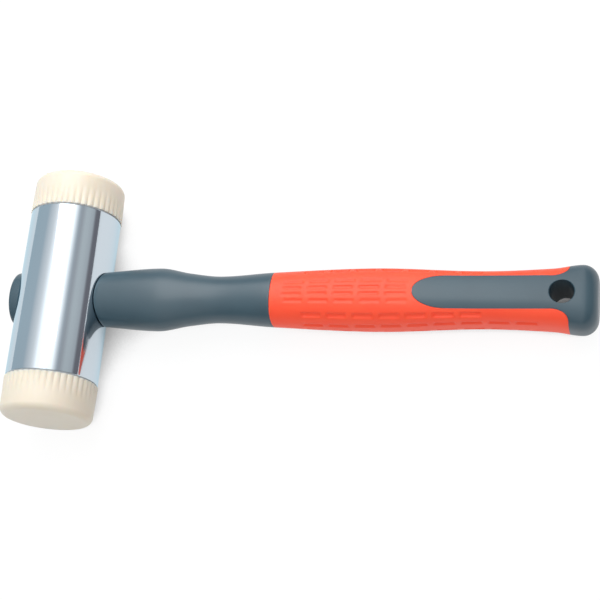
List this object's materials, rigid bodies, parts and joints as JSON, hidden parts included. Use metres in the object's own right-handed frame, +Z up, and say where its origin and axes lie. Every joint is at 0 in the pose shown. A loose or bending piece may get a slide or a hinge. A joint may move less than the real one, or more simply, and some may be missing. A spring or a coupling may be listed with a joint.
{
  "type": "soft face hammer",
  "caption": "Soft face hammer: a chromed barrel head with screw-in nylon faces, and a grey moulded handle with a padded soft grip and a hanging hole, lying on its side",
  "frame": {"origin": "middle of the bounding box on the floor that the hammer lies on", "axes": "+X along the handle towards its butt, +Y along the head's axis towards the upper face, +Z up from the floor"},
  "size_m": [0.2858, 0.123, 0.0457],
  "materials": {
    "chrome": "polished chrome plate on steel",
    "nylon": "satin ivory nylon",
    "fibre": "matt dark fibre",
    "fibreglass": "pultruded fibreglass",
    "epoxy": "cast epoxy",
    "handle_plastic": "satin slate grey moulding",
    "grip_rubber": "soft orange-red moulding"
  },
  "bodies": {
    "hammer": {"head_barrel": "chrome", "core_rod": "fibreglass", "eye_bond": "epoxy", "handle_shank": "handle_plastic", "grip_sleeve": "grip_rubber", "front_plug": "handle_plastic"},
    "upper_washer": {"upper_washer": "fibre"},
    "upper_face": {"upper_face": "nylon"},
    "lower_washer": {"lower_washer": "fibre"},
    "lower_face": {"lower_face": "nylon"}
  },
  "joints": [
    {"name": "upper_face_travel", "type": "slide", "parent": "hammer", "child": "upper_washer", "axis": [0, 1, 0], "range_m": [0, 0.01351]},
    {"name": "upper_face_turn", "type": "hinge", "parent": "upper_washer", "child": "upper_face", "pos_m": [-0.11738, 0, 0.02285], "axis": [0, 1, 0], "range_deg": [0, 972]},
    {"name": "lower_face_travel", "type": "slide", "parent": "hammer", "child": "lower_washer", "axis": [0, -1, 0], "range_m": [0, 0.01351]},
    {"name": "lower_face_turn", "type": "hinge", "parent": "lower_washer", "child": "lower_face", "pos_m": [-0.11738, 0, 0.02285], "axis": [0, -1, 0], "range_deg": [0, 972]}
  ],
  "couplings": [
    {"joint": "upper_face_travel", "follows": "upper_face_turn", "m_per_rad": 0.00079577},
    {"joint": "lower_face_travel", "follows": "lower_face_turn", "m_per_rad": 0.00079577}
  ]
}
